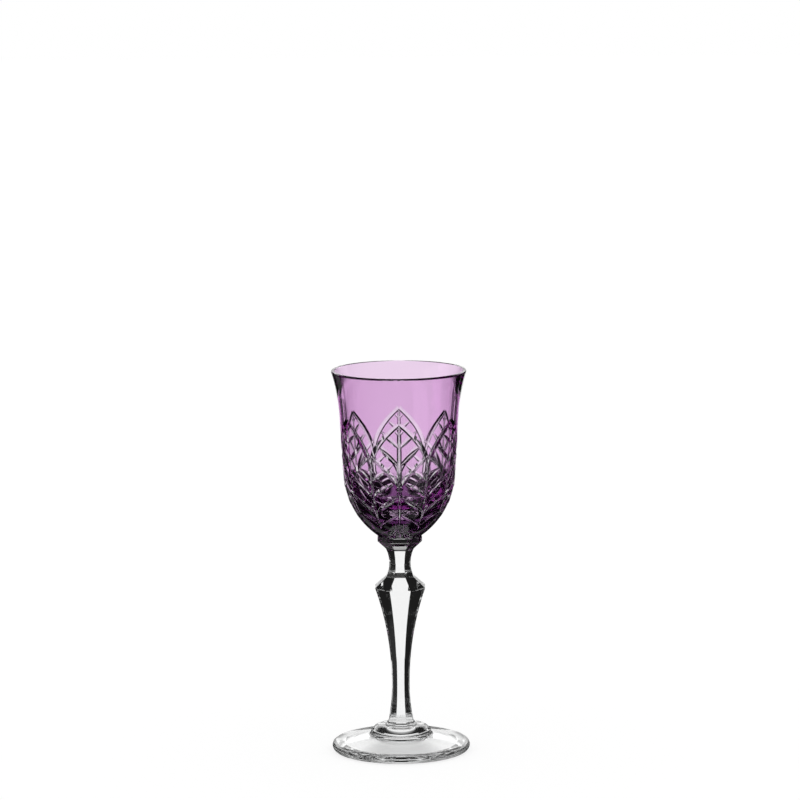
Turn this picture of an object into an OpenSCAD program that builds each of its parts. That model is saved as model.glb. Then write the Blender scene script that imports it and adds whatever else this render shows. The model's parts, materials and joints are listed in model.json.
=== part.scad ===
// Cordial glass: amethyst cased bowl cut through to clear crystal, on an eight-sided stem and a round foot.
// Millimetres, Z up. The origin is the middle of the surface that the foot stands on.

/* [Glass] */
// Height from the table to the top of the rim
glass_h = 140.8; // [126:0.2:155]

/* [Bowl] */
// Radius of the mouth, measured outside
mouth_r = 24.65; // [23.5:0.05:27]
// Radius of the bowl where its straight wall begins, above the belly
belly_r = 20.45; // [19:0.05:22]
// Radius of the bowl's flat bottom, where the collar is fused to it
bowl_base_r = 7.9; // [7:0.1:8]
// Height of the bowl, from the collar to the rim
bowl_h = 61; // [56:0.5:66]
// Height of the belly's curve above the collar
belly_h = 22.5; // [21:0.1:25]
// Height of the flared lip below the rim
flare_h = 17; // [12:0.2:19]
// Outward lean of the straight wall, in degrees
wall_lean = 3.3; // [1:0.1:5]
// Thickness of the glass in the straight wall, casing included
wall_t = 2.1; // [1.8:0.1:3]
// Thickness of the glass at the rim, casing included
rim_t = 1.3; // [1.1:0.1:1.7]
// Height of the lip's inner curve, which thins the wall to the rim
lip_h = 11; // [8:0.2:13]
// Thickness of the glass at the bottom of the cavity
floor_t = 9; // [7.6:0.1:10.4]
// Thickness of the amethyst casing
casing_t = 0.25; // [0.2:0.05:0.35]

/* [Cut pattern] */
// Number of leaves in each of the two rows
leaf_count = 6; // [4:1:8]
// Depth of the deepest cuts, below the surface
cut_depth = 0.85; // [0.7:0.05:1]
// Angle between the two sides of a cut, in degrees
cut_angle = 100; // [90:2:116]
// Height of the upper leaves' tips above the collar
upper_tip_h = 43.8; // [41:0.2:44.6]
// Length of an upper leaf's curved edges, measured upright
upper_edge_h = 18.6; // [17:0.2:20]
// Length of an upper leaf's rib
upper_rib_h = 37.4; // [34:0.2:38]
// Height of the lower leaves' tips above the collar
lower_tip_h = 31.8; // [29.6:0.2:33]
// Length of a lower leaf's curved edges, measured upright
lower_edge_h = 15.6; // [13:0.2:17]
// Length of a lower leaf's rib
lower_rib_h = 27.4; // [26:0.2:28]
// Climb of the upper leaves' veins from the rib to the edge, in degrees
upper_vein_climb = 43; // [35:1:48]
// Climb of the lower leaves' veins from the rib to the edge, in degrees
lower_vein_climb = 38; // [32:1:42]

/* [Collar] */
// Distance across the flats of the eight-sided collar
collar_w = 16.2; // [16:0.1:18]
// Height of the collar's upright sides
collar_side_h = 1.6; // [1.2:0.1:2.2]
// Height of the collar's sloping underside
collar_slope_h = 3; // [2.6:0.1:3.4]

/* [Stem] */
// Distance across the flats at both ends of the hollow neck
neck_end_w = 10.2; // [9.8:0.1:11]
// Distance across the flats at the middle of the neck
neck_w = 7.8; // [7.4:0.1:8.4]
// Height of the hollow neck
neck_h = 10.7; // [10:0.1:11.4]
// Height of the sloping shoulder
shoulder_h = 3.7; // [3.2:0.1:4.4]
// Distance across the flats at the sharp knee
knee_w = 18.3; // [17.2:0.1:19.4]
// Distance across the flats at the waist
waist_w = 6.5; // [6.1:0.1:7.1]
// Height of the waist above the table
waist_z = 24.8; // [22:0.2:27.8]
// Distance across the flats where the long sides end
heel_w = 8.9; // [8.4:0.1:9.6]
// Height above the table where the long sides end
heel_z = 10.8; // [10.4:0.1:11.8]
// Distance across the flats where the stem meets the foot
stem_base_w = 11.6; // [10.8:0.1:12.4]

/* [Foot] */
// Radius of the foot
foot_r = 25.2; // [23:0.1:27]
// Thickness of the foot at its round edge
foot_edge_t = 3.4; // [2.6:0.1:3.8]
// Inner radius of the flat ring that the foot stands on
rest_inner_r = 20; // [18:0.1:21]
// Rise of the hollow underside at its middle
hollow_h = 3; // [1.6:0.1:3.6]
// Radius of the low mound under the stem
mound_r = 11.3; // [11:0.1:12.5]
// Height of the mound's flat top above the table
mound_z = 9.3; // [8.8:0.1:10]
// Radius of the mound's round shoulder
mound_round = 4; // [3.6:0.1:4]
// Height of the foot's upper side where it meets the mound
saddle_z = 5.8; // [5.4:0.1:6.2]

/* [Hidden] */
amethyst = [0.62, 0.38, 0.68, 0.8];
crystal = [0.88, 0.91, 0.93, 0.6];

// Facets of the bowl, a multiple of twice the leaves so that every leaf meets the same facets
bowl_facets = 12 * leaf_count;
// Facets of the foot's arcs
foot_facets = 96;
// Facets of the large circles that hollow the stem and the foot
arc_facets = 180;
// Pieces that the bowl's curves are drawn with
belly_steps = 9;
flare_steps = 5;
lip_steps = 4;
rim_steps = 4;
// Pieces that the stem's heel, its long sides and its neck are drawn with
heel_steps = 4;
side_steps = 9;
neck_steps = 8;
// Pieces of each round on the foot
round_steps = 10;
// Pieces that each curved edge and rib of a leaf is cut in
edge_steps = 6;
rib_steps = 7;
// Sides of the stem and the collar
stem_sides = 8;

// Heights that the pieces share
bowl_z = glass_h - bowl_h;
collar_z = bowl_z - collar_side_h - collar_slope_h;
shoulder_z = collar_z - neck_h;
knee_z = shoulder_z - shoulder_h;

// The bowl's outer outline is an arc, a straight leaning wall and a second arc.
// Its points are [radius, height, lean], with the lean measured from upright.
wall_foot = [belly_r, bowl_z + belly_h];
wall_head_z = glass_h - flare_h;
wall_head = [belly_r + (wall_head_z - wall_foot[1]) * tan(wall_lean), wall_head_z];
rim_round = (rim_t - casing_t) / 2;
casing_top_z = glass_h - rim_round;

function without_first(list) = [for (i = [1 : len(list) - 1]) list[i]];
function reversed(list) = [for (i = [1 : len(list)]) list[len(list) - i]];
function flat(path) = [for (p = path) [p[0], p[1]]];
// Angle from upright of the line between two points
function lean_between(a, b) = atan2(b[0] - a[0], b[1] - a[1]);
// Turn of the arc that leaves a at the given lean and reaches b
function arc_turn(a, lean, b) = 2 * (lean_between(a, b) - lean);
// Radius of the arc, less than zero where it bends towards the axis on its way up
function arc_r(a, lean, b) = norm(b - a) / 2 / sin(arc_turn(a, lean, b) / 2);
// Centre of the arc
function arc_centre(a, lean, b) = a + arc_r(a, lean, b) * [cos(lean), -sin(lean)];
// Points of a circle from one lean to another
function circle_points(centre, radius, from, to, steps) =
    [for (i = [0 : steps])
        let (t = from + (to - from) * i / steps)
        [centre[0] - radius * cos(t), centre[1] + radius * sin(t), t]];
// Points of the arc from a to b
function arc_points(a, lean, b, steps) =
    circle_points(arc_centre(a, lean, b), arc_r(a, lean, b), lean, lean + arc_turn(a, lean, b), steps);

// Lean at the start of an arc that reaches b with the given lean
function lean_before(a, b, lean) = 2 * lean_between(a, b) - lean;

bowl_base = [bowl_base_r, bowl_z];
belly_lean = lean_before(bowl_base, wall_foot, wall_lean);
mouth = [mouth_r, casing_top_z];
outer_path = concat(
    arc_points(bowl_base, belly_lean, wall_foot, belly_steps),
    arc_points(wall_head, wall_lean, mouth, flare_steps));
belly_centre = arc_centre(bowl_base, belly_lean, wall_foot);
belly_arc_r = -arc_r(bowl_base, belly_lean, wall_foot);
flare_centre = arc_centre(wall_head, wall_lean, mouth);
flare_arc_r = arc_r(wall_head, wall_lean, mouth);

// The face where casing and lining are fused lies one casing thickness under the outer outline
function under(p, depth) = [p[0] - depth * cos(p[2]), p[1] + depth * sin(p[2])];
fused_path = [for (p = outer_path) under(p, casing_t)];
fused_base = [fused_path[0][0], bowl_z];
fused_mouth = [mouth_r - casing_t, casing_top_z];
fused_line = concat([fused_base], [for (i = [1 : len(fused_path) - 2]) fused_path[i]], [fused_mouth]);

// The cavity follows the wall and the flare at an even distance up to the lip, and ends in a round bottom
// over a thick floor
inner_foot = [wall_foot[0] - wall_t, wall_foot[1]];
inner_mouth = [mouth_r - rim_t, casing_top_z];
inner_flare_r = flare_arc_r + wall_t * cos(wall_lean);
lip_lean = asin((glass_h - lip_h - flare_centre[1]) / inner_flare_r);
inner_flare = circle_points(flare_centre, inner_flare_r, wall_lean, lip_lean, flare_steps);
lip_foot = flat(inner_flare)[flare_steps];
inner_floor = [0, bowl_z + floor_t];
bottom_r = (inner_foot[0] * cos(wall_lean) - (inner_foot[1] - inner_floor[1]) * sin(wall_lean))
    / (1 - sin(wall_lean));
inner_turn = inner_floor + bottom_r * [cos(wall_lean), 1 - sin(wall_lean)];
inner_line = concat(
    arc_points(inner_floor, 90, inner_turn, belly_steps),
    inner_flare,
    without_first(arc_points(lip_foot, lip_lean, inner_mouth, lip_steps)));

// The rim is a half round between the lining's two faces
rim_line = [for (i = [1 : rim_steps - 1])
    let (t = 180 * i / rim_steps)
    [fused_mouth[0] - rim_round + rim_round * cos(t), casing_top_z + rim_round * sin(t)]];

// Lean and radius of the outer surface at a height: belly, straight wall or flare
function wall_lean_at(z) =
    z < wall_foot[1] ? asin((belly_centre[1] - z) / belly_arc_r) :
    z < wall_head[1] ? wall_lean :
    asin((z - flare_centre[1]) / flare_arc_r);
function wall_r_at(z) =
    z < wall_foot[1] ? belly_centre[0] + belly_arc_r * cos(wall_lean_at(z)) :
    z < wall_head[1] ? wall_foot[0] + (z - wall_foot[1]) * tan(wall_lean) :
    flare_centre[0] - flare_arc_r * cos(wall_lean_at(z));

// A cut's stations are [angle round the bowl, height, depth]; angle 0 faces front
cut_overrun = 0.5;
half_leaf = 180 / leaf_count;
function around(angle) = [sin(angle), -cos(angle), 0];
function on_bowl(s) = wall_r_at(s[1]) * around(s[0]) + [0, 0, s[1]];
function outward(s) = cos(wall_lean_at(s[1])) * around(s[0]) - [0, 0, sin(wall_lean_at(s[1]))];
function unit(v) = v / norm(v);
function heading(path, i) = unit(on_bowl(path[min(i + 1, len(path) - 1)]) - on_bowl(path[max(i - 1, 0)]));
function cut_slice(path, i) =
    let (
        p = on_bowl(path[i]),
        n = outward(path[i]),
        side = unit(cross(heading(path, i), n)) * (path[i][2] + cut_overrun) * tan(cut_angle / 2)
    )
    [p - n * path[i][2], p + n * cut_overrun + side, p + n * cut_overrun - side];

// The wheel's path of cut: a row of V slices joined into one solid
module wheel_cut(path) {
    last = len(path) - 1;
    points = [for (i = [0 : last]) each cut_slice(path, i)];
    sides = [for (i = [0 : last - 1]) for (k = [0 : 2])
        let (a = 3 * i + k, b = 3 * i + (k + 1) % 3)
        each [[a, b, a + 3], [b, b + 3, a + 3]]];
    polyhedron(points, concat([[2, 1, 0]], sides, [[3 * last, 3 * last + 1, 3 * last + 2]]));
}

// Depth of a cut along its length, shallow at both ends, where the wheel was lifted off
function depth_at(share, end_share) = cut_depth * (end_share + (1 - end_share) * sin(180 * share));
edge_end_share = 0.75;
rib_end_share = 0.4;
vein_end_share = 0.2;
module leaf_edge(angle, tip_z, edge_h, hand) {
    wheel_cut([for (i = [0 : edge_steps])
        let (share = i / edge_steps, turn = half_leaf * (1 - pow(1 - share, 2)))
        [angle + hand * turn, tip_z - edge_h * share, depth_at(share, edge_end_share)]]);
}
module leaf_rib(angle, tip_z, rib_h) {
    wheel_cut([for (i = [0 : rib_steps])
        let (share = i / rib_steps)
        [angle, tip_z - rib_h * share, depth_at(share, rib_end_share)]]);
}
module leaf_vein(angle, start_z, reach, climb, depth_share, hand) {
    arc_length = wall_r_at(start_z) * reach * PI / 180;
    rise = arc_length * tan(climb);
    wheel_cut([for (share = [0, 0.5, 1])
        [angle + hand * reach * share, start_z + rise * share, depth_share * depth_at(share, vein_end_share)]]);
}
// A leaf: two curved edges, a rib, and pairs of veins as [start below the tip, reach, depth] in shares
module leaf(angle, tip_h, edge_h, rib_h, vein_climb, vein_shares) {
    tip_z = bowl_z + tip_h;
    for (hand = [-1, 1]) {
        leaf_edge(angle, tip_z, edge_h, hand);
        for (vein = vein_shares)
            leaf_vein(angle, tip_z - rib_h * vein[0], half_leaf * vein[1], vein_climb, vein[2], hand);
    }
    leaf_rib(angle, tip_z, rib_h);
}
upper_vein_shares = [[0.1, 0.15, 0.45], [0.23, 0.38, 0.8], [0.41, 0.68, 1]];
lower_vein_shares = [[0.34, 0.5, 0.9], [0.56, 0.77, 1], [0.78, 0.95, 1], [0.98, 0.98, 1]];

// Two rows of leaves, with each lower leaf between two upper ones
module cut_pattern() {
    for (i = [0 : leaf_count - 1]) {
        angle = 2 * half_leaf * i;
        leaf(angle, upper_tip_h, upper_edge_h, upper_rib_h, upper_vein_climb, upper_vein_shares);
        leaf(angle + half_leaf, lower_tip_h, lower_edge_h, lower_rib_h, lower_vein_climb, lower_vein_shares);
    }
}

// The amethyst layer over the whole outside of the bowl, cut through where the pattern is
module bowl_casing() {
    color(amethyst)
        difference() {
            rotate_extrude($fn = bowl_facets) polygon(concat(flat(outer_path), reversed(fused_line)));
            cut_pattern();
        }
}

// The clear glass inside the casing, which holds the drink and shows in the cuts
module bowl_lining() {
    color(crystal)
        difference() {
            rotate_extrude($fn = bowl_facets)
                polygon(concat([[0, bowl_z]], fused_line, rim_line, reversed(flat(inner_line))));
            cut_pattern();
        }
}

// What an outline leaves when it is cut square to each pair of the eight sides
module eight_sided() {
    intersection_for (i = [0 : stem_sides / 2 - 1])
        rotate([90, 0, 360 / stem_sides * i])
            linear_extrude(2 * knee_w, center = true) children();
}

// The small eight-sided disc between bowl and stem, with a sloping underside
module collar() {
    color(crystal)
        eight_sided()
            polygon([
                [-neck_end_w / 2, collar_z],
                [neck_end_w / 2, collar_z],
                [collar_w / 2, collar_z + collar_slope_h],
                [collar_w / 2, bowl_z],
                [-collar_w / 2, bowl_z],
                [-collar_w / 2, collar_z + collar_slope_h]
            ]);
}

// Half of the stem's outline from its base up: spreading heel, hollow sides with their waist, knee,
// sloping shoulder and hollow neck
heel = [heel_w / 2, heel_z];
waist = [waist_w / 2, waist_z];
neck_lean = -2 * atan((neck_end_w - neck_w) / neck_h);
stem_line = concat(
    [[stem_base_w / 2, mound_z, 0]],
    arc_points(heel, lean_before(heel, waist, 0), waist, heel_steps),
    without_first(arc_points(waist, 0, [knee_w / 2, knee_z], side_steps)),
    arc_points([neck_end_w / 2, shoulder_z], neck_lean, [neck_end_w / 2, collar_z], neck_steps));

module stem() {
    left_line = [for (p = reversed(stem_line)) [-p[0], p[1]]];
    color(crystal)
        eight_sided()
            polygon(concat(flat(stem_line), left_line));
}

// Radius of an arc that is upright where it starts and goes a given way along and across
function hollow_r(along, across) = (along * along + across * across) / 2 / across;

// Points of a round from one direction to another, anticlockwise about its centre
function round_points(centre, radius, from, to) =
    [for (i = [0 : round_steps])
        let (t = from + (to - from) * i / round_steps)
        centre + radius * [cos(t), sin(t)]];

// The round foot: a thin disc with a round edge, a low mound under the stem and a hollow underside
module foot() {
    edge_round = foot_edge_t / 2;
    edge_centre = [foot_r - edge_round, edge_round];
    mound_centre = [mound_r - mound_round, mound_z - mound_round];
    saddle_turn = asin((saddle_z - mound_centre[1]) / mound_round);
    underside_r = hollow_r(rest_inner_r, hollow_h);
    color(crystal)
        rotate_extrude($fn = foot_facets)
            difference() {
                polygon(concat(
                    [[0, 0]],
                    round_points(edge_centre, edge_round, -90, 90),
                    round_points(mound_centre, mound_round, saddle_turn, 90),
                    [[0, mound_z]]));
                translate([0, hollow_h - underside_r]) circle(underside_r, $fn = arc_facets);
            }
}

bowl_casing();
bowl_lining();
collar();
stem();
foot();
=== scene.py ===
import json
import math

import bpy
import numpy as np
from mathutils import Matrix, Vector
from mathutils.bvhtree import BVHTree

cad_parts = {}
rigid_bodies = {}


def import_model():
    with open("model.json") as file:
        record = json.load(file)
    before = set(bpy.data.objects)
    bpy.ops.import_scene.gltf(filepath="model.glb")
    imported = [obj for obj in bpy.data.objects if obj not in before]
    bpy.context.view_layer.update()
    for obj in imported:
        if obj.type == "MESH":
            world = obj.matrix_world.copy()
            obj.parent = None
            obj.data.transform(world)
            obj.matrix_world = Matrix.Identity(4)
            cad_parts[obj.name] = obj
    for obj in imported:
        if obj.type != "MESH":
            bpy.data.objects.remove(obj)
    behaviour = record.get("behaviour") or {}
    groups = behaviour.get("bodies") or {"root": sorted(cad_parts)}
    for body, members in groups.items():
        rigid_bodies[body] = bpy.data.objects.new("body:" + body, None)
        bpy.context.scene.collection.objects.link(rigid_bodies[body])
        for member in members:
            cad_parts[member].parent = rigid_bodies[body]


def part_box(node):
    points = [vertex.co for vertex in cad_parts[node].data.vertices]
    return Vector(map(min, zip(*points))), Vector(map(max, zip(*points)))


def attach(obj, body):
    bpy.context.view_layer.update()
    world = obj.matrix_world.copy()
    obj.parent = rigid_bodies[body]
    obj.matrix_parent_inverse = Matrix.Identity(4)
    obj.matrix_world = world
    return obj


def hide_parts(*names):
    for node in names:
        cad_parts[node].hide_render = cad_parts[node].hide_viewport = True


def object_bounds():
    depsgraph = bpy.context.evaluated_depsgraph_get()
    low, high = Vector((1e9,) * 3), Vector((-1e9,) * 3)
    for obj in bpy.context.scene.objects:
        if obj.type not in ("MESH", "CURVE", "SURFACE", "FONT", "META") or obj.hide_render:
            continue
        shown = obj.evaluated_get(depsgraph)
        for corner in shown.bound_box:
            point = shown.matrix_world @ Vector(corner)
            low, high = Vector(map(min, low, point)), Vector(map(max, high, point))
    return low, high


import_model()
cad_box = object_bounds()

# Lengths are in metres; MM turns a size in millimetres into metres.
MM = 0.001
QUARTER = math.pi / 2

# Sizes that the frame gives
glass_h = cad_box[1][2]
bowl_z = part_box("bowl_lining")[0][2]
mouth_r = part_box("bowl_casing")[1][0]
casing_top_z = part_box("bowl_casing")[1][2]
collar_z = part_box("collar")[0][2]
collar_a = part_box("collar")[1][0]
mound_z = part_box("stem")[0][2]
knee_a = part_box("stem")[1][0]
foot_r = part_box("foot")[1][0]

# The bowl, as in the part
belly_r = 20.45 * MM
bowl_base_r = 7.9 * MM
wall_foot_z = bowl_z + 22.5 * MM
wall_head_z = glass_h - 17 * MM
wall_lean = math.radians(3.3)
wall_t = 2.1 * MM
rim_t = 1.3 * MM
floor_t = 9 * MM
lip_z = glass_h - 11 * MM
casing_t = 0.25 * MM

# The cut pattern, as in the part but with rounded roots, as the wheel's edge leaves them. A root's radius is
# a share of the depth at which the cut's sides would meet.
leaf_count = 6
half_leaf = math.pi / leaf_count
cut_depth = 0.85 * MM
cut_overrun = 0.8 * MM
cut_half_angle = math.radians(50)
edge_root = 0.25
rib_root = 0.9
vein_root = 0.5
# The wheel leans out of the leaf: a cut's outer side is wide and shallow, its inner side narrow and steep
edge_tilt = math.radians(11)
vein_tilt = math.radians(8)
# Each leaf: its tip's height above the bowl's base, how far down its edges and its rib reach, how steeply
# its veins climb, and for each pair of veins where it starts on the rib, how far it reaches towards the edge
# and how deep it is, as shares
upper_leaf = {
    "tip": 43.8 * MM, "edge": 18.6 * MM, "rib": 37.4 * MM, "climb": math.radians(43),
    "veins": ((0.1, 0.15, 0.45), (0.23, 0.38, 0.8), (0.41, 0.68, 1))}
lower_leaf = {
    "tip": 31.8 * MM, "edge": 15.6 * MM, "rib": 27.4 * MM, "climb": math.radians(38),
    "veins": ((0.34, 0.5, 0.9), (0.56, 0.77, 1), (0.78, 0.95, 1), (0.98, 0.98, 1))}
edge_end_share = 0.75
rib_end_share = 0.4
vein_end_share = 0.2

# The collar and the stem, as in the part; each size is half the distance across the flats
collar_side_z = collar_z + 3 * MM
neck_end_a = 5.1 * MM
neck_a = 3.9 * MM
shoulder_z = collar_z - 10.7 * MM
knee_z = shoulder_z - 3.7 * MM
waist_a = 3.25 * MM
waist_z = 24.8 * MM
heel_a = 4.45 * MM
heel_z = 10.8 * MM
heel_lean = math.radians(-25)
stem_base_a = 5.8 * MM

# The foot, as in the part
edge_round = 1.7 * MM
rest_inner_r = 20 * MM
hollow_h = 3 * MM
mound_r = 11.3 * MM
mound_round = 4 * MM
saddle_z = 5.8 * MM

# A hair's breadth keeps the fused faces of casing and lining apart
joint_gap = 0.008 * MM

# The small rounds that polishing leaves on edges
facet_round = 0.2 * MM
crease_round = 0.25 * MM
collar_top_round = 0.08 * MM
saddle_round = 1.2 * MM

# How finely the surfaces are drawn
BOWL_SEGMENTS = 288
BELLY_STEPS = 44
WALL_STEPS = 12
FLARE_STEPS = 20
RIM_STEPS = 16
FOOT_SEGMENTS = 192
HOLLOW_STEPS = 24
FOOT_EDGE_STEPS = 24
FOOT_TOP_STEPS = 16
MOUND_STEPS = 20
LEAF_STEPS = 40
VEIN_STEPS = 12
ROOT_STEPS = 16
STEM_SIDES = 8
CORNER_STEPS = 4
FACET_STEPS = 8
HEEL_STEPS = 24
BALUSTER_STEPS = 60
NECK_STEPS = 24
ROUND_STEPS = 6


# Outlines are lists of points (radius or half width, height, lean). The lean is the direction of travel,
# from straight up towards the outside, and the surface faces the right-hand side of the travel.

# Leans that differ by less than this count as one, and so do points that lie closer together
SAME_LEAN = 1e-6
SAME_PLACE = 1e-9
# A round needs this many times its reach free on both sides of the corner
ROUND_ROOM = 1.2


def lean_between(a, b):
    return math.atan2(b[0] - a[0], b[1] - a[1])


def lean_before(a, b, lean):
    """The lean at the start of an arc that reaches b with the given lean."""
    return 2 * lean_between(a, b) - lean


def arc_circle(a, lean, b):
    """Centre and radius of the arc from a to b; the radius is below zero where it bends towards the axis."""
    half_turn = lean_between(a, b) - lean
    radius = math.dist(a[:2], b[:2]) / 2 / math.sin(half_turn)
    return (a[0] + radius * math.cos(lean), a[1] - radius * math.sin(lean)), radius


def arc_on(circle, lean_a, lean_b, steps):
    """Points of a circle between two leans."""
    (x, z), radius = circle
    leans = [lean_a + (lean_b - lean_a) * i / steps for i in range(steps + 1)]
    return [(x - radius * math.cos(t), z + radius * math.sin(t), t) for t in leans]


def arc(a, lean, b, steps):
    return arc_on(arc_circle(a, lean, b), lean, 2 * lean_between(a, b) - lean, steps)


def straight(a, b, steps=1):
    lean = lean_between(a, b)
    shares = [i / steps for i in range(steps + 1)]
    return [(a[0] + (b[0] - a[0]) * s, a[1] + (b[1] - a[1]) * s, lean) for s in shares]


def along(p, lean, length):
    return (p[0] + length * math.sin(lean), p[1] + length * math.cos(lean))


def join(pieces, rounds):
    """One outline from several that meet end to end, with a small round of a given radius in each corner."""
    line = list(pieces[0])
    for piece, radius in zip(pieces[1:], rounds):
        corner, before, after = line[-1], line[-1][2], piece[0][2]
        if abs(after - before) < SAME_LEAN:
            line += piece[1:]
            continue
        reach = radius * math.tan(abs(after - before) / 2)
        while len(line) > 1 and math.dist(line[-1][:2], corner[:2]) < reach * ROUND_ROOM:
            line.pop()
        rest = [p for p in piece if math.dist(p[:2], corner[:2]) >= reach * ROUND_ROOM]
        start = along(corner, before, -reach)
        end = along(corner, after, reach)
        line += arc(start, before, end, ROUND_STEPS) + rest
    return line


class BowlFace:
    """A face of the bowl: an arc, a straight leaning wall and arcs that flare out."""

    def __init__(self, base, foot, tops):
        """foot is where the wall begins; tops are the upper arcs, as (circle, lean at its start)."""
        self.foot, self.tops = foot, tops
        self.base_lean = lean_before(base, foot, wall_lean)
        self.belly = arc_circle(base, self.base_lean, foot)
        self.start_z = [z + radius * math.sin(lean) for ((x, z), radius), lean in tops]

    def line(self, top_lean, inset=0):
        """The face's outline up to the given lean, moved inwards by the inset."""
        centre, radius = self.belly
        low = arc_on((centre, radius + inset), self.base_lean, wall_lean, BELLY_STEPS)
        high = []
        ends = [lean for circle, lean in self.tops[1:]] + [top_lean]
        for ((centre, radius), lean), end in zip(self.tops, ends):
            high += arc_on((centre, radius + inset), lean, end, FLARE_STEPS)[bool(high):]
        return low + straight(low[-1], high[0], WALL_STEPS)[1:-1] + high

    def depth(self, r, z):
        """How deep points lie under this face, and its lean there."""
        depth = (self.foot[0] - r) * math.cos(wall_lean) + (z - self.foot[1]) * math.sin(wall_lean)
        lean = np.full(len(r), wall_lean)
        half_way = (self.foot[1] + self.start_z[0]) / 2
        (x, mid_z), radius = self.belly
        low_lean = np.arctan2(mid_z - z, r - x)
        here = (low_lean > wall_lean) & (z < half_way)
        depth[here] = (-radius - np.hypot(r - x, z - mid_z))[here]
        lean[here] = low_lean[here]
        for ((x, mid_z), radius), start_lean in self.tops:
            high_lean = np.arctan2(z - mid_z, x - r)
            here = (high_lean > start_lean) & (z > half_way)
            depth[here] = (np.hypot(r - x, z - mid_z) - radius)[here]
            lean[here] = high_lean[here]
        return depth, lean

    def at(self, z):
        """Radius and lean at a height."""
        if z < self.foot[1]:
            (x, mid_z), radius = self.belly
            lean = math.asin((mid_z - z) / -radius)
            return x - radius * math.cos(lean), lean
        if z < self.start_z[0]:
            return self.foot[0] + (z - self.foot[1]) * math.tan(wall_lean), wall_lean
        started = [circle for (circle, lean), start in zip(self.tops, self.start_z) if z >= start]
        (x, mid_z), radius = started[-1]
        lean = math.asin((z - mid_z) / radius)
        return x - radius * math.cos(lean), lean


# The bowl's two faces
wall_foot = (belly_r, wall_foot_z)
wall_head = (belly_r + (wall_head_z - wall_foot_z) * math.tan(wall_lean), wall_head_z)
flare = arc_circle(wall_head, wall_lean, (mouth_r, casing_top_z))
outside = BowlFace((bowl_base_r, bowl_z), wall_foot, [(flare, wall_lean)])

# The cavity's bottom is a round that runs into its wall; its flare ends in the lip's inner curve
floor_z = bowl_z + floor_t
wall_sin, wall_cos = math.sin(wall_lean), math.cos(wall_lean)
bottom_r = ((wall_foot[0] - wall_t) * wall_cos - (wall_foot_z - floor_z) * wall_sin) / (1 - wall_sin)
inner_flare = (flare[0], flare[1] + wall_t * wall_cos)
lip_lean = math.asin((lip_z - flare[0][1]) / inner_flare[1])
lip_foot = (flare[0][0] - inner_flare[1] * math.cos(lip_lean), lip_z)
lip = arc_circle(lip_foot, lip_lean, (mouth_r - rim_t, casing_top_z))
cavity = BowlFace(
    (0, floor_z), (bottom_r * wall_cos, floor_z + bottom_r * (1 - wall_sin)),
    [(inner_flare, wall_lean), (lip, lip_lean)])

# The rim is a round that runs smoothly into both faces; its middle is found in a few tries
RIM_TRIES = 8
rim_r = rim_t / 2
for _ in range(RIM_TRIES):
    rim_mid_z = glass_h - rim_r
    rim_mid_r = (outside.at(rim_mid_z)[0] + cavity.at(rim_mid_z)[0]) / 2
    depth, lean = outside.depth(np.array([rim_mid_r]), np.array([rim_mid_z]))
    rim_r, rim_lean = float(depth[0]), float(lean[0])
inner_rim_lean = float(cavity.depth(np.array([rim_mid_r]), np.array([rim_mid_z]))[1][0])


def rim_arc(lean_a, lean_b, steps):
    return arc_on(((rim_mid_r, rim_mid_z), -rim_r), lean_a, lean_b, steps)


def fused_outline(inset):
    """The face between casing and lining, up to the rim, and its lean where it ends there."""
    line = outside.line(rim_lean, inset)
    line[0] = (line[0][0], bowl_z, 0)
    end_lean = rim_lean - math.acos(1 - inset / rim_r)
    return line + rim_arc(end_lean, 0, 1)[:1], end_lean


def bowl_outlines():
    """Casing and lining, with their fused faces a hair's breadth apart, so that light meets them in turn."""
    outer_line = outside.line(rim_lean)
    casing_side, end_lean = fused_outline(casing_t)
    casing = outer_line + rim_arc(rim_lean, end_lean, RIM_STEPS // 2)[1:-1] + casing_side[::-1]
    lining_side, end_lean = fused_outline(casing_t + joint_gap)
    rim_line = rim_arc(end_lean, inner_rim_lean - math.pi, RIM_STEPS)[1:-1]
    inner_line = cavity.line(inner_rim_lean)
    lining = [(0, bowl_z, QUARTER)] + lining_side + rim_line + inner_line[::-1]
    lining[-1] = (0, lining[-1][1], -QUARTER)
    return casing, lining


# Meshes

def around(t):
    """The level direction at an angle round the axis, from the front towards the right-hand side."""
    return Vector((math.sin(t), -math.cos(t), 0))


def new_object(name, verts, faces):
    mesh = bpy.data.meshes.new(name)
    mesh.from_pydata(verts, [], faces)
    obj = bpy.data.objects.new(name, mesh)
    bpy.context.scene.collection.objects.link(obj)
    return obj


def skin(rings, closed=False):
    """Faces between rings of points; a ring of one point is a pole."""
    faces = []
    pairs = zip(rings, rings[1:] + rings[:1]) if closed else zip(rings, rings[1:])
    for low, high in pairs:
        count = max(len(low), len(high))
        for k in range(count):
            m = (k + 1) % count
            if len(low) == 1:
                faces.append((low[0], high[m], high[k]))
            elif len(high) == 1:
                faces.append((low[k], low[m], high[0]))
            else:
                faces.append((low[k], low[m], high[m], high[k]))
    return faces


def lathe(name, line, segments, closed):
    """The solid that an outline makes round the axis."""
    verts, rings = [], []
    for r, z, lean in line:
        steps = segments if r > SAME_PLACE else 1
        rings.append(list(range(len(verts), len(verts) + steps)))
        verts += [around(2 * math.pi * k / steps) * r + Vector((0, 0, z)) for k in range(steps)]
    return new_object(name, verts, skin(rings, closed))


def on_bowl(s):
    """The point of the bowl's outside at a station."""
    return around(s[0]) * outside.at(s[1])[0] + Vector((0, 0, s[1]))


def outward(s):
    """The direction straight out of the bowl's outside at a station."""
    lean = outside.at(s[1])[1]
    return around(s[0]) * math.cos(lean) - Vector((0, 0, math.sin(lean)))


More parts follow.
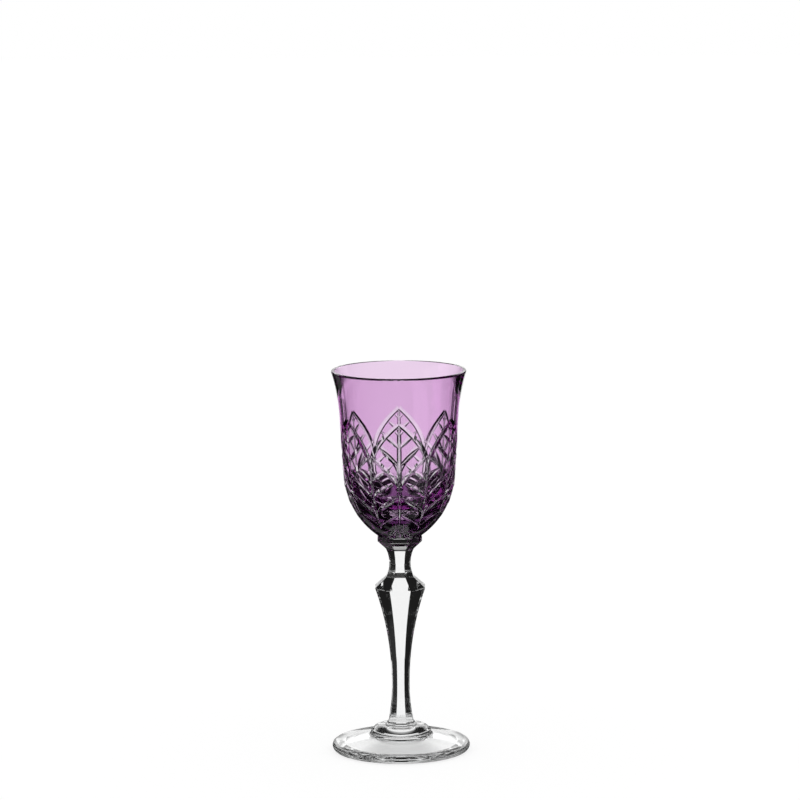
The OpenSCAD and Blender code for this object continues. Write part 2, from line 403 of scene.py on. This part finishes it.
class CutFaces:
    """The sides of all the cuts: points with their true normals, and the triangles between them."""

    def __init__(self):
        self.points, self.normals, self.triangles = [], [], []

    def add(self, points, normals, triangles):
        first = len(self.points)
        self.points += points
        self.normals += normals
        self.triangles += [tuple(first + k for k in triangle) for triangle in triangles]


cut_faces = CutFaces()


def wheel_cut(name, path, root, tilt):
    """The body that a blunt V-edged wheel sweeps; its stations are (angle round the bowl, height, depth)."""
    verts, rings, normals, headings = [], [], [], []
    for i, s in enumerate(path):
        point, normal = on_bowl(s), outward(s)
        heading = (on_bowl(path[min(i + 1, len(path) - 1)]) - on_bowl(path[max(i - 1, 0)])).normalized()
        headings.append(heading)
        side = heading.cross(normal).normalized()
        bottom = point - normal * s[2]
        side, normal = (
            side * math.cos(tilt) + normal * math.sin(tilt), normal * math.cos(tilt) - side * math.sin(tilt))
        half_width = (cut_overrun + s[2]) * math.tan(cut_half_angle)
        root_r = root * s[2]
        middle = root_r / math.sin(cut_half_angle) - s[2]
        turns = [(QUARTER - cut_half_angle) * (1 - 2 * k / ROOT_STEPS) for k in range(ROOT_STEPS + 1)]
        shape = [(half_width, cut_overrun)]
        shape += [(root_r * math.sin(t), middle - root_r * math.cos(t)) for t in turns]
        shape += [(-half_width, cut_overrun)]
        rings.append(list(range(len(verts), len(verts) + len(shape))))
        verts += [bottom + side * x + normal * (y + s[2]) for x, y in shape]
        normals += [normal * math.cos(t) - side * math.sin(t) for t in turns[:1] + turns + turns[-1:]]
    faces = []
    for a, b, c, d in skin(rings):
        faces += [(a, b, c), (a, c, d)]
    in_groove = [f for f in faces if max(k % len(shape) for k in f) - min(k % len(shape) for k in f) == 1]
    cut_faces.add(verts, normals, in_groove)
    for ring, inward in ((rings[0][::-1], headings[0]), (rings[-1], -headings[-1])):
        faces.append(tuple(ring))
        cap = [verts[k] for k in ring]
        cut_faces.add(cap, [inward] * len(cap), [(0, k, k + 1) for k in range(1, len(cap) - 1)])
    return new_object(name, verts, faces)


def depth_at(share, end_share):
    """A cut is deepest in its middle; at its ends it has end_share of that depth."""
    return cut_depth * (end_share + (1 - end_share) * math.sin(math.pi * share))


def shares(steps):
    return [i / steps for i in range(steps + 1)]


def leaf_cuts(name, angle, leaf):
    """The cuts of one leaf: for each hand an edge and its veins, and then the rib."""
    tip_z = bowl_z + leaf["tip"]
    paths, roots = [], []
    for hand in (-1, 1):
        roots.append((edge_root, hand * edge_tilt))
        paths.append([
            (angle + hand * half_leaf * (1 - (1 - s) ** 2), tip_z - leaf["edge"] * s,
             depth_at(s, edge_end_share))
            for s in shares(LEAF_STEPS)])
        for start, reach, depth_share in leaf["veins"]:
            roots.append((vein_root, hand * vein_tilt))
            z = tip_z - leaf["rib"] * start
            turn = half_leaf * reach
            rise = outside.at(z)[0] * turn * math.tan(leaf["climb"])
            paths.append([
                (angle + hand * turn * s, z + rise * s, depth_share * depth_at(s, vein_end_share))
                for s in shares(VEIN_STEPS)])
    roots.append((rib_root, 0))
    paths.append([
        (angle, tip_z - leaf["rib"] * s, depth_at(s, rib_end_share)) for s in shares(LEAF_STEPS)])
    return [wheel_cut(f"{name}_{k}", path, *root) for k, (path, root) in enumerate(zip(paths, roots))]


def cut_pattern():
    """All cuts, in a collection of their own."""
    cuts = bpy.data.collections.new("cuts")
    bpy.context.scene.collection.children.link(cuts)
    for i in range(leaf_count):
        made = leaf_cuts(f"upper_cut_{i}", 2 * half_leaf * i, upper_leaf)
        made += leaf_cuts(f"lower_cut_{i}", 2 * half_leaf * (i + 0.5), lower_leaf)
        for cut in made:
            cuts.objects.link(cut)
            bpy.context.scene.collection.objects.unlink(cut)
    return cuts


def cut_away(obj, cuts):
    """Takes the cuts out of a body and keeps the result as its mesh."""
    modifier = obj.modifiers.new("cuts", "BOOLEAN")
    modifier.operation = "DIFFERENCE"
    modifier.solver = "MANIFOLD"
    modifier.operand_type = "COLLECTION"
    modifier.collection = cuts
    whole = obj.evaluated_get(bpy.context.evaluated_depsgraph_get())
    mesh = bpy.data.meshes.new_from_object(whole)
    obj.modifiers.clear()
    obj.data = mesh


def read(collection, field, width):
    """One field of all of a mesh's items, as an array with this many columns."""
    values = np.zeros(len(collection) * width)
    collection.foreach_get(field, values)
    return values.reshape(-1, width) if width > 1 else values


# What each face of the bowl is
OUTER, FUSED, CUT, INNER = 0, 1, 2, 3
KINDS = 4
# How near to a turned face a point has to be to count as on it
tolerance = 0.012 * MM
# Least cosine between a face's normal and the turned face's, and a cut's, for them to count as one
TURNED_MATCH = 0.95
CUT_MATCH = 0.7


def bowl_kinds(mesh):
    """Sorts the faces: outer skin, faces inside the fused glass, sides of the cuts, cavity and rim."""
    centres, normals = read(mesh.polygons, "center", 3), read(mesh.polygons, "normal", 3)
    r, z = np.hypot(centres[:, 0], centres[:, 1]), centres[:, 2]
    depth, lean = outside.depth(r, z)
    level = (normals[:, 0] * centres[:, 0] + normals[:, 1] * centres[:, 1]) / np.maximum(r, SAME_PLACE)
    facing = np.abs(level * np.cos(lean) - normals[:, 2] * np.sin(lean))
    kinds = np.full(len(r), CUT)
    rim_start_z = rim_mid_z - rim_r * math.sin(rim_lean)
    kinds[(depth > cut_depth + casing_t / 2) | (z > rim_start_z)] = INNER
    kinds[(np.abs(depth - casing_t) < tolerance) & (facing > TURNED_MATCH)] = FUSED
    kinds[(np.abs(depth) < tolerance) & (facing > TURNED_MATCH) & (z < rim_start_z)] = OUTER
    kinds[z < bowl_z + tolerance] = FUSED
    return kinds


# Keeps a division by the square of a sliver's area safe
LEAST_AREA = 1e-24


def groove_normals(points, centres, flat, face_of_corner, cut_polygons):
    """Normals of the corners in the cuts' sides, from the triangles of the cuts that the faces lie in."""
    tree = BVHTree.FromPolygons(cut_faces.points, cut_faces.triangles)
    found = np.zeros(len(centres), int)
    for k in cut_polygons:
        found[k] = tree.find_nearest(centres[k])[2]
    corners = np.array(cut_faces.triangles)[found[face_of_corner]]
    ends, normals = np.array(cut_faces.points), np.array(cut_faces.normals)
    a, b, c = (ends[corners[:, k]] for k in range(3))
    ab, ac, ap = b - a, c - a, points - a
    bb, bc, cc = (ab * ab).sum(1), (ab * ac).sum(1), (ac * ac).sum(1)
    pb, pc = (ap * ab).sum(1), (ap * ac).sum(1)
    area = np.maximum(bb * cc - bc * bc, LEAST_AREA)
    v = np.clip((cc * pb - bc * pc) / area, 0, 1)[:, None]
    w = np.clip((bb * pc - bc * pb) / area, 0, 1)[:, None]
    made = normals[corners[:, 0]] * (1 - v - w) + normals[corners[:, 1]] * v + normals[corners[:, 2]] * w
    made /= np.linalg.norm(made, axis=1)[:, None]
    agree = (made * flat).sum(1) > CUT_MATCH
    return np.where(agree[:, None], made, flat)


def bowl_normals(mesh, kinds):
    """True normals of the turned faces, in place of those that the mesh's facets give."""
    mesh.polygons.foreach_set("use_smooth", np.ones(len(mesh.polygons), bool))
    lengths = read(mesh.polygons, "loop_total", 1).astype(int)
    corner_kinds = np.repeat(kinds, lengths)
    edge_of_corner = read(mesh.loops, "edge_index", 1).astype(int)
    low = np.full(len(mesh.edges), KINDS)
    high = np.full(len(mesh.edges), -1)
    np.minimum.at(low, edge_of_corner, corner_kinds)
    np.maximum.at(high, edge_of_corner, corner_kinds)
    face_of_corner = np.repeat(np.arange(len(lengths)), lengths)
    face_normals = read(mesh.polygons, "normal", 3)
    attribute = mesh.attributes.get("sharp_edge") or mesh.attributes.new("sharp_edge", "BOOLEAN", "EDGE")
    attribute.data.foreach_set("value", (low != high) | (low == CUT))
    mesh.update()
    normals = read(mesh.corner_normals, "vector", 3)
    points = read(mesh.vertices, "co", 3)[read(mesh.loops, "vertex_index", 1).astype(int)]
    r = np.maximum(np.hypot(points[:, 0], points[:, 1]), SAME_PLACE)
    z = points[:, 2]
    level = points[:, :2] / r[:, None]

    def turned(lean):
        return np.column_stack([level * np.cos(lean)[:, None], -np.sin(lean)])

    outer = corner_kinds == OUTER
    normals[outer] = turned(outside.depth(r, z)[1])[outer]
    inner = corner_kinds == INNER
    normals[inner] = -turned(cavity.depth(r, z)[1])[inner]
    across, up = r - rim_mid_r, z - rim_mid_z
    on_rim = inner & (np.abs(np.hypot(across, up) - rim_r) < tolerance)
    normals[on_rim] = np.column_stack([level * across[:, None], up])[on_rim] / rim_r
    flat_normals = face_normals[face_of_corner]
    fused = corner_kinds == FUSED
    normals[fused] = flat_normals[fused]
    cut = corner_kinds == CUT
    centres = read(mesh.polygons, "center", 3)
    normals[cut] = groove_normals(
        points[cut], centres, flat_normals[cut], face_of_corner[cut], np.flatnonzero(kinds == CUT))
    mesh.normals_split_custom_set(normals)


def finish_bowl(obj, slots):
    """Sorts the faces of a cut body, gives each kind its material and every corner its normal."""
    kinds = bowl_kinds(obj.data)
    fused = obj.data.attributes.new("fused", "FLOAT", "FACE")
    fused.data.foreach_set("value", (kinds == FUSED).astype(np.float32))
    order = list(dict.fromkeys(slots.values()))
    obj.data.materials.clear()
    for material in order:
        obj.data.materials.append(material)
    index = np.array([order.index(slots[kind]) for kind in range(KINDS)])
    obj.data.polygons.foreach_set("material_index", index[kinds])
    bowl_normals(obj.data, kinds)


# Glass materials

class Nodes:
    """A node tree that is filled one node at a time."""

    def __init__(self, tree):
        self.tree = tree
        tree.nodes.clear()

    def add(self, kind, links=None, values=None, **settings):
        """A new node; links and values go by its inputs, and settings are its own."""
        node = self.tree.nodes.new(kind)
        for name, value in settings.items():
            setattr(node, name, value)
        for name, value in (values or {}).items():
            node.inputs[name].default_value = value
        for name, source in (links or {}).items():
            self.tree.links.new(source, node.inputs[name])
        return node

    def math(self, operation, *terms):
        node = self.add("ShaderNodeMath", operation=operation)
        for socket, term in zip(node.inputs, terms):
            if isinstance(term, (int, float)):
                socket.default_value = term
            else:
                self.tree.links.new(term, socket)
        return node.outputs[0]

    def blend(self, share, first, second, **settings):
        """Mixes two colours; the first may come from another node."""
        node = self.add("ShaderNodeMix", {"Factor": share}, data_type="RGBA", **settings)
        if isinstance(first, tuple):
            node.inputs[6].default_value = (*first, 1)
        else:
            self.tree.links.new(first, node.inputs[6])
        node.inputs[7].default_value = (*second, 1)
        return node.outputs[2]

    def step(self, value, low, high):
        """0 below low and 1 above high, and smooth between; the other way round where high is below low."""
        node = self.add(
            "ShaderNodeMapRange", {"Value": value},
            {"From Min": min(low, high), "From Max": max(low, high),
             "To Min": float(low > high), "To Max": float(low < high)},
            interpolation_type="SMOOTHSTEP")
        return node.outputs[0]


CRYSTAL_IOR = 1.54
# The noises that vary the colour and that bend the faces
CLOUD = {"Scale": 55.0, "Detail": 2.0, "Roughness": 0.5}
RIPPLE = {"Detail": 1.5, "Roughness": 0.4}
RIPPLE_SCALE = 120.0
# The casing darkens from DEEP_AND_SHADED_TOP down to DEEP_AND_SHADED_BASE, heights above the bowl's base:
# partly the deeper colour of a thicker casing, partly painted shade of the dark surroundings that the thick
# base shows
DEEP_AND_SHADED_TOP = 26 * MM
DEEP_AND_SHADED_BASE = 6 * MM


def new_material(name):
    """A material and its node tree, still empty."""
    material = bpy.data.materials.new(name)
    material.use_nodes = True
    return material, Nodes(material.node_tree)


def polished(nodes, colour, shade=None, deep=None, wave=0.0, wave_scale=RIPPLE_SCALE):
    """The shader of polished glass, with a slow ripple in its face.

    Its colour varies a little between colour and shade, and near the bowl's base it is multiplied by deep, a
    darkening that is partly deeper colour and partly painted shade."""
    place = nodes.add("ShaderNodeTexCoord").outputs["Object"]
    shader = nodes.add("ShaderNodeBsdfPrincipled", values={
        "Base Color": (*colour, 1), "Roughness": 0.0, "IOR": CRYSTAL_IOR, "Transmission Weight": 1.0})
    if shade:
        cloud = nodes.add("ShaderNodeTexNoise", {"Vector": place}, CLOUD)
        tone = nodes.blend(cloud.outputs["Fac"], colour, shade)
        # Darker towards the bowl's base: partly deeper colour, partly painted shade
        z = nodes.add("ShaderNodeSeparateXYZ", {0: place}).outputs[2]
        low = nodes.step(z, bowl_z + DEEP_AND_SHADED_TOP, bowl_z + DEEP_AND_SHADED_BASE)
        tone = nodes.blend(low, tone, deep, blend_type="MULTIPLY")
        nodes.tree.links.new(tone, shader.inputs["Base Color"])
    ripple = nodes.add("ShaderNodeTexNoise", {"Vector": place}, {"Scale": wave_scale, **RIPPLE})
    bump = nodes.add(
        "ShaderNodeBump", {"Height": ripple.outputs["Fac"]}, {"Strength": 1.0, "Distance": wave})
    nodes.tree.links.new(bump.outputs["Normal"], shader.inputs["Normal"])
    return shader.outputs[0]


def glass(name, colour, **options):
    material, nodes = new_material(name)
    nodes.add("ShaderNodeOutputMaterial", {"Surface": polished(nodes, colour, **options)})
    return material


def fused_joint(name):
    """Faces inside the fused glass, where light goes straight on."""
    material, nodes = new_material(name)
    shader = nodes.add("ShaderNodeBsdfTransparent")
    nodes.add("ShaderNodeOutputMaterial", {"Surface": shader.outputs[0]})
    return material


def cased_glass(name, stain, density, colour, **options):
    """Coloured glass that deepens with the way through it and is open where it is fused to clear glass."""
    material, nodes = new_material(name)
    shader = polished(nodes, colour, **options)
    fused = nodes.add("ShaderNodeAttribute", attribute_name="fused")
    clear = nodes.add("ShaderNodeBsdfTransparent")
    mix = nodes.add("ShaderNodeMixShader", {0: fused.outputs["Fac"], 1: shader, 2: clear.outputs[0]})
    absorption = nodes.add("ShaderNodeVolumeAbsorption", values={"Color": (*stain, 1), "Density": density})
    nodes.add("ShaderNodeOutputMaterial", {"Surface": mix.outputs[0], "Volume": absorption.outputs[0]})
    return material


# deep darkens the casing towards its base to near black: partly deeper colour, partly painted shade
amethyst = cased_glass(
    "amethyst_glass", stain=(0.80, 0.32, 0.80), density=2000.0, colour=(1.0, 1.0, 1.0),
    shade=(0.955, 0.925, 0.965), deep=(0.08, 0.03, 0.09), wave=0.004 * MM)
bowl_clear = (0.985, 0.985, 0.99)
stem_clear = (0.98, 0.985, 0.985)
bowl_crystal = glass("bowl_crystal", bowl_clear, wave=0.004 * MM)
cut_crystal = glass("cut_crystal", bowl_clear, wave=0.002 * MM, wave_scale=400.0)
stem_crystal = glass("stem_crystal", stem_clear, wave=0.006 * MM)
foot_crystal = glass("foot_crystal", stem_clear, wave=0.006 * MM, wave_scale=90.0)
joint = fused_joint("fused_joint")

# The bowl
casing_line, lining_line = bowl_outlines()
cuts = cut_pattern()
casing = lathe("amethyst_casing", casing_line, BOWL_SEGMENTS, True)
lining = lathe("crystal_lining", lining_line, BOWL_SEGMENTS, False)
for piece in (casing, lining):
    cut_away(piece, cuts)
finish_bowl(casing, {OUTER: amethyst, FUSED: amethyst, CUT: amethyst, INNER: amethyst})
finish_bowl(lining, {OUTER: joint, FUSED: joint, CUT: cut_crystal, INNER: bowl_crystal})
for cut in list(cuts.objects):
    bpy.data.objects.remove(cut)
bpy.data.collections.remove(cuts)


# The stem and the collar are lofts of eight-sided rings with slightly rounded corners

def eight_sided_ring(a, z, lean):
    """Points and normals of one ring, all the way round."""
    points, normals = [], []
    step = 2 * math.pi / STEM_SIDES
    centre_r = (a - facet_round) / math.cos(step / 2)
    for k in range(STEM_SIDES):
        corner = step * (k + 0.5)
        for i in range(CORNER_STEPS + 1):
            t = step * (k + i / CORNER_STEPS)
            points.append(around(corner) * centre_r + around(t) * facet_round + Vector((0, 0, z)))
            tilt = math.cos(t - corner) / math.cos(step / 2)
            normals.append((around(t) * math.cos(lean) - Vector((0, 0, math.sin(lean) * tilt))).normalized())
    return points, normals


def turned_ring(r, z, lean, angles):
    """Points and normals of a round ring, at the given angles."""
    points = [around(t) * r + Vector((0, 0, z)) for t in angles]
    normals = [around(t) * math.cos(lean) - Vector((0, 0, math.sin(lean))) for t in angles]
    return points, normals


def build(name, rings, bottom, top, materials):
    """A closed solid from rings of points and normals.

    bottom and top are the material indices of its end faces."""
    verts, index_rings, normals = [], [], []
    for points, ring_normals in rings:
        index_rings.append(list(range(len(verts), len(verts) + len(points))))
        verts += points
        normals += ring_normals
    faces = skin(index_rings)
    sides = len(faces)
    faces += [tuple(index_rings[0][::-1]), tuple(index_rings[-1])]
    obj = new_object(name, verts, faces)
    mesh = obj.data
    for material in materials:
        mesh.materials.append(material)
    mesh.polygons.foreach_set("use_smooth", np.ones(len(faces), bool))
    mesh.polygons[sides].material_index = bottom
    mesh.polygons[sides + 1].material_index = top
    corner_normals = [normals[loop.vertex_index] for loop in mesh.loops]
    for face, way in ((mesh.polygons[sides], -1), (mesh.polygons[sides + 1], 1)):
        for corner in face.loop_indices:
            corner_normals[corner] = Vector((0, 0, way))
    mesh.normals_split_custom_set(corner_normals)
    return obj


def build_collar():
    low, side_low, side_high = (neck_end_a, collar_z), (collar_a, collar_side_z), (collar_a, bowl_z)
    line = join(
        [straight(low, side_low, FACET_STEPS), straight(side_low, side_high, FACET_STEPS // 2),
         [(*side_high, -QUARTER)]],
        [crease_round, collar_top_round])
    rings = [eight_sided_ring(*p) for p in line]
    angles = [math.atan2(p.x, -p.y) for p in rings[-1][0]]
    rings.append(turned_ring(bowl_base_r, bowl_z, -QUARTER, angles))
    return build("collar_disc", rings, 1, 1, [stem_crystal, joint])


def build_stem():
    heel, waist, knee = (heel_a, heel_z), (waist_a, waist_z), (knee_a, knee_z)
    base = (stem_base_a, mound_z)
    shoulder, top = (neck_end_a, shoulder_z), (neck_end_a, collar_z)
    neck_lean = -2 * math.atan((neck_end_a - neck_a) / (collar_z - shoulder_z) * 2)
    base_lean = lean_before(base, heel, heel_lean)
    line = join(
        [arc(base, base_lean, heel, FACET_STEPS),
         arc(heel, lean_before(heel, waist, 0), waist, HEEL_STEPS) + arc(waist, 0, knee, BALUSTER_STEPS)[1:],
         straight(knee, shoulder, FACET_STEPS), arc(shoulder, neck_lean, top, NECK_STEPS)],
        [crease_round * 2, crease_round, crease_round])
    return build("stem_baluster", [eight_sided_ring(*p) for p in line], 1, 1, [stem_crystal, joint])


def build_foot():
    edge_centre = (foot_r - edge_round, edge_round)
    mound_centre = (mound_r - mound_round, mound_z - mound_round)
    saddle_turn = math.asin((saddle_z - mound_centre[1]) / mound_round)
    saddle = (mound_centre[0] + mound_round * math.cos(saddle_turn), saddle_z)
    rest_in, rest_out = (rest_inner_r, 0), (edge_centre[0], 0)
    edge_top = (edge_centre[0], 2 * edge_round)
    line = join(
        [arc((0, hollow_h), QUARTER, rest_in, HOLLOW_STEPS)[1:], straight(rest_in, rest_out, 2),
         arc_on((edge_centre, -edge_round), QUARTER, -QUARTER, FOOT_EDGE_STEPS),
         straight(edge_top, saddle, FOOT_TOP_STEPS),
         arc_on((mound_centre, -mound_round), -saddle_turn, -QUARTER, MOUND_STEPS)],
        [edge_round, 0, edge_round, saddle_round])
    angles = [2 * math.pi * k / FOOT_SEGMENTS for k in range(FOOT_SEGMENTS)]
    rings = [turned_ring(*p, angles) for p in line]
    step = 2 * math.pi / STEM_SIDES
    corner_r = (stem_base_a - facet_round) / math.cos(step / 2) + facet_round
    seat = [
        around(t) * min(stem_base_a / math.cos((t + step / 2) % step - step / 2), corner_r)
        + Vector((0, 0, mound_z)) for t in angles]
    rings.append((seat, [Vector((0, 0, 1))] * len(angles)))
    return build("round_foot", rings, 0, 1, [foot_crystal, joint])


collar = build_collar()
stem = build_stem()
foot = build_foot()

for piece, node, slot in (
        (casing, "bowl_casing", "amethyst_glass"), (lining, "bowl_lining", "bowl_crystal"),
        (collar, "collar", "stem_crystal"), (stem, "stem", "stem_crystal"), (foot, "foot", "foot_crystal")):
    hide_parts(node)
    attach(piece, "root")


# Studio: windows of white light behind the glass, as seen from each side, and dark flags between them

# Each window: its turn from the back towards the left and half its width, in degrees; where it begins and
# ends on the floor (one without an end goes on above the floor); and its level as mirrored by the glass
WINDOWS = (
    (0, 20.5, 0.3, None, 1.0), (40, 2, 0.45, None, 0.25), (320, 2, 0.45, None, 0.25),
    (45, 11, 0, 0.42, 0.25), (90, 14, 1.0, None, 0.25), (225, 16, 0, 1.2, 0.25))
WINDOW_SOFT = math.radians(4)
WINDOW_TOP = math.radians(19)
WINDOW_TOP_SOFT = math.radians(4)
MIRRORED_TOP = math.radians(31)
# A window's light changes over this share of the way to its start or end on the floor, either side of it
FLOOR_SOFT = 0.15
# A narrow strip of painted light leads from under the foot to each window, and a round spot of painted light
# lies under the foot
STRIP_HALF = 0.006
STRIP_SOFT = 0.0015
NEAR_FLOOR_R = 0.0225
NEAR_FLOOR_SOFT = 0.0015
# The light of the dark flags; the floor's own light, its whiteness, half its width and how low it lies
FLAG_LEVEL = 0.012
FLOOR_GLOW = 0.76
FLOOR_WHITE = 0.25
FLOOR_HALF = 4.0
FLOOR_DROP = 0.0001
# As mirrored by the glass, the windows are wider and brighter from HIGH_LOW up, like a soft box behind it
HIGH_LOW = math.radians(9)
HIGH_FULL = math.radians(15)
HIGH_WIDER = math.radians(25)
HIGH_LEVEL = 2.0


def turned_by(nodes, x, y, t):
    """A level direction or place (x, y) as seen from an angle t: how far forward and how far to the side."""
    forward = nodes.math(
        "ADD", nodes.math("MULTIPLY", x, -math.sin(t)), nodes.math("MULTIPLY", y, math.cos(t)))
    across = nodes.math(
        "ADD", nodes.math("MULTIPLY", x, math.cos(t)), nodes.math("MULTIPLY", y, math.sin(t)))
    return forward, nodes.math("ABSOLUTE", across)


def window_light(nodes, x, y, through, wider=None):
    """Level of the windows in a level direction (x, y), or at a place on the floor, with a strip to each.

    wider is how much wider the windows are at the direction's rise, and None on the floor."""
    on_floor = wider is None
    level = None
    for turn, half, start, end, mirrored in WINDOWS:
        if end and not on_floor:
            continue
        t, half = math.radians(turn), math.radians(half)
        forward, off = turned_by(nodes, x, y, t)
        angle = nodes.math("ARCTAN2", off, forward)
        if not on_floor:
            angle = nodes.math("SUBTRACT", angle, wider)
        lit = nodes.step(angle, half + WINDOW_SOFT / 2, half - WINDOW_SOFT / 2)
        if on_floor:
            if start:
                begun = nodes.step(forward, start * (1 - FLOOR_SOFT), start * (1 + FLOOR_SOFT))
                lit = nodes.math("MULTIPLY", lit, begun)
            if end:
                not_over = nodes.step(forward, end * (1 + FLOOR_SOFT), end * (1 - FLOOR_SOFT))
                lit = nodes.math("MULTIPLY", lit, not_over)
            strip = nodes.step(off, STRIP_HALF + STRIP_SOFT, STRIP_HALF - STRIP_SOFT)
            strip = nodes.math("MULTIPLY", strip, nodes.step(forward, 0.0, STRIP_HALF))
            lit = nodes.math("MAXIMUM", lit, strip)
        if mirrored < 1:
            lit = nodes.math("MULTIPLY", lit, nodes.math("MAXIMUM", through, mirrored))
        level = lit if level is None else nodes.math("MAXIMUM", level, lit)
    return level


def with_flags(nodes, window):
    """The level that the glass shows: the windows', and a little light from the dark flags between them."""
    return nodes.math("ADD", nodes.math("MULTIPLY", window, 1 - FLAG_LEVEL), FLAG_LEVEL)


def seen_in_glass(nodes):
    """Two switches: for all rays that the glass bends or mirrors, and for the bent ones alone."""
    path = nodes.add("ShaderNodeLightPath")
    through = path.outputs["Is Transmission Ray"]
    return nodes.math("MAXIMUM", path.outputs["Is Glossy Ray"], through), through


def make_world():
    """White for all but the rays that the glass bends or mirrors, which meet windows and flags."""
    world = bpy.data.worlds.new("studio")
    bpy.context.scene.world = world
    world.use_nodes = True
    nodes = Nodes(world.node_tree)
    direction = nodes.add("ShaderNodeTexCoord").outputs["Generated"]
    x, y, z = nodes.add("ShaderNodeSeparateXYZ", {0: direction}).outputs
    seen_ray, through = seen_in_glass(nodes)
    rise = nodes.math("ARCSINE", z)
    bounced = nodes.math("SUBTRACT", 1.0, through)
    high = nodes.math("MULTIPLY", bounced, nodes.step(rise, HIGH_LOW, HIGH_FULL))
    window = window_light(nodes, x, y, through, nodes.math("MULTIPLY", high, HIGH_WIDER))
    low_top = nodes.step(rise, WINDOW_TOP + WINDOW_TOP_SOFT, WINDOW_TOP - WINDOW_TOP_SOFT)
    high_top = nodes.step(rise, MIRRORED_TOP + WINDOW_TOP_SOFT, MIRRORED_TOP - WINDOW_TOP_SOFT)
    top = nodes.math("MAXIMUM", low_top, nodes.math("MULTIPLY", high_top, bounced))
    window = nodes.math("MULTIPLY", window, top)
    brighter = nodes.math("ADD", nodes.math("MULTIPLY", high, HIGH_LEVEL - 1), 1.0)
    level = with_flags(nodes, nodes.math("MULTIPLY", window, brighter))
    lit = nodes.add("ShaderNodeBackground", values={"Color": (1, 1, 1, 1), "Strength": 1.0})
    seen = nodes.add("ShaderNodeBackground", {"Strength": level}, {"Color": (1, 1, 1, 1)})
    mix = nodes.add("ShaderNodeMixShader", {0: seen_ray, 1: lit.outputs[0], 2: seen.outputs[0]})
    nodes.add("ShaderNodeOutputWorld", {"Surface": mix.outputs[0]})


def make_floor():
    """A pale floor that keeps the shadow; the glass sees the windows and flags on it."""
    corners = [(x * FLOOR_HALF, y * FLOOR_HALF, 0) for x, y in ((-1, -1), (1, -1), (1, 1), (-1, 1))]
    floor = new_object("floor", corners, [(0, 1, 2, 3)])
    floor.location.z = -FLOOR_DROP
    material, nodes = new_material("studio_floor")
    place = nodes.add("ShaderNodeTexCoord").outputs["Object"]
    x, y, _ = nodes.add("ShaderNodeSeparateXYZ", {0: place}).outputs
    rho = nodes.math("SQRT", nodes.math("ADD", nodes.math("MULTIPLY", x, x), nodes.math("MULTIPLY", y, y)))
    # A round spot of painted light under the foot, which only the glass sees
    near = nodes.step(rho, NEAR_FLOOR_R + NEAR_FLOOR_SOFT, NEAR_FLOOR_R - NEAR_FLOOR_SOFT)
    seen_ray, through = seen_in_glass(nodes)
    window = nodes.math("MAXIMUM", window_light(nodes, x, y, through), near)
    level = nodes.math("MAXIMUM", with_flags(nodes, window), nodes.math("SUBTRACT", 1.0, seen_ray))
    glow = nodes.add("ShaderNodeEmission", {"Strength": nodes.math("MULTIPLY", level, FLOOR_GLOW)})
    tone = nodes.math("MULTIPLY", level, FLOOR_WHITE)
    colour = nodes.add("ShaderNodeCombineColor", {0: tone, 1: tone, 2: tone})
    diffuse = nodes.add("ShaderNodeBsdfDiffuse", {"Color": colour.outputs[0]})
    both = nodes.add("ShaderNodeAddShader", {0: diffuse.outputs[0], 1: glow.outputs[0]})
    nodes.add("ShaderNodeOutputMaterial", {"Surface": both.outputs[0]})
    floor.data.materials.append(material)


make_world()
make_floor()

# Camera, fitted to the ellipses of the rim and the foot in the photograph
SENSOR_WIDTH = 36
PICTURE_PIXELS = 800
FOCAL_PIXELS = 3960
CAMERA_PLACE = (0.00043, -1.4213, 0.3438)
LOOKS_DOWN = math.radians(8.57)
ROLL = math.radians(0.4)

camera_data = bpy.data.cameras.new("camera")
camera = bpy.data.objects.new("camera", camera_data)
bpy.context.scene.collection.objects.link(camera)
camera_data.sensor_width = SENSOR_WIDTH
camera_data.lens = SENSOR_WIDTH * FOCAL_PIXELS / PICTURE_PIXELS
camera.location = CAMERA_PLACE
pitch = Matrix.Rotation(QUARTER - LOOKS_DOWN, 3, "X")
camera.rotation_euler = (pitch @ Matrix.Rotation(-ROLL, 3, "Z")).to_euler()
bpy.context.scene.camera = camera

scene = bpy.context.scene
scene.view_settings.view_transform = "Standard"
scene.cycles.max_bounces = 32
scene.cycles.transmission_bounces = 32
scene.cycles.glossy_bounces = 16
scene.cycles.transparent_max_bounces = 48
